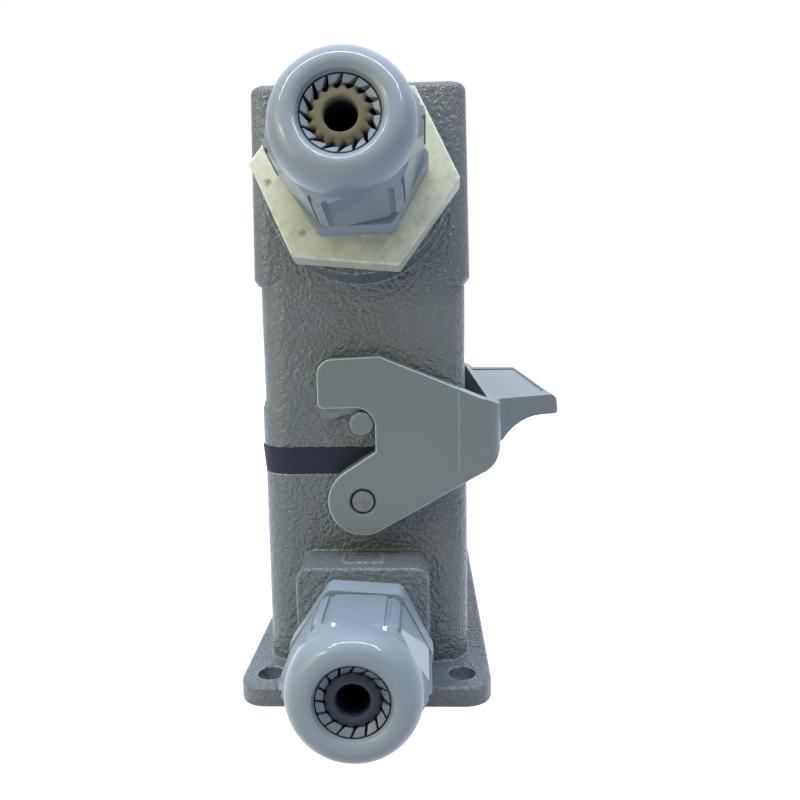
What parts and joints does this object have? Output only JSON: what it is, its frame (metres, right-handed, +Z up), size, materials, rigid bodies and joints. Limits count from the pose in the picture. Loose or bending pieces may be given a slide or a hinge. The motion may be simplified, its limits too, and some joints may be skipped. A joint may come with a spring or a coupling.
{
  "type": "heavy duty rectangular connector",
  "caption": "Grey cast housing and hood with a side-entry gland below, a raised gland above, a rubber gasket and one swinging locking lever over a mated contact set.",
  "frame": {"origin": "centre of the base bolt pattern on the underside of the base plate", "axes": "+Z up out of the base plate, -Y the side on which both cables leave, +X the side of the lever's thumb tab"},
  "size_m": [0.0683, 0.1408, 0.1245],
  "materials": {
    "casting_grey": "textured powder coat",
    "peg_painted": "powder coat",
    "gasket_rubber": "matte",
    "pin_steel": "dull",
    "latch_steel": "dull",
    "lever_grey": "fine satin",
    "gland_grey": "glossy",
    "reducer_cream": "satin",
    "seal_dark": "matte",
    "seal_tan": "matte",
    "ring_rubber": "matte",
    "insert_grey": "satin",
    "contact_metal": "plated",
    "screw_steel": "zinc plated"
  },
  "bodies": {
    "connector": {"base_housing": "casting_grey", "hood": "casting_grey", "base_gasket": "gasket_rubber", "locking_pegs": "peg_painted", "lever_pivot_pins": "pin_steel", "entry_reducer": "reducer_cream", "reducer_sealing_ring": "ring_rubber", "lower_gland_body": "gland_grey", "lower_gland_seal": "seal_dark", "lower_gland_ring": "ring_rubber", "upper_gland_body": "gland_grey", "upper_gland_seal": "seal_tan", "upper_gland_ring": "ring_rubber", "female_insert": "insert_grey", "female_contacts": "contact_metal", "female_terminal_screws": "screw_steel", "female_fixing_screws": "screw_steel", "female_earth_plates": "screw_steel", "female_earth_screws": "screw_steel", "male_insert": "insert_grey", "male_contacts": "contact_metal", "male_terminal_screws": "screw_steel", "male_fixing_screws": "screw_steel", "male_earth_plates": "screw_steel", "male_earth_screws": "screw_steel"},
    "lever": {"locking_lever": "lever_grey", "latch_plate_front": "latch_steel", "latch_plate_rear": "latch_steel"},
    "lower_cap": {"lower_gland_cap_nut": "gland_grey"},
    "upper_cap": {"upper_gland_cap_nut": "gland_grey"}
  },
  "joints": [
    {"name": "lever_swing", "type": "hinge", "parent": "connector", "child": "lever", "pos_m": [0, 0, 0.041], "axis": [0, 1, 0], "range_deg": [0, 48]},
    {"name": "lower_cap_turn", "type": "hinge", "parent": "connector", "child": "lower_cap", "pos_m": [0, -0.0681, 0.0141], "axis": [0, -1, 0], "range_deg": [0, 720]},
    {"name": "upper_cap_turn", "type": "hinge", "parent": "connector", "child": "upper_cap", "pos_m": [0, -0.06561, 0.1079], "axis": [0, -0.9781, 0.2079], "range_deg": [0, 720]}
  ]
}
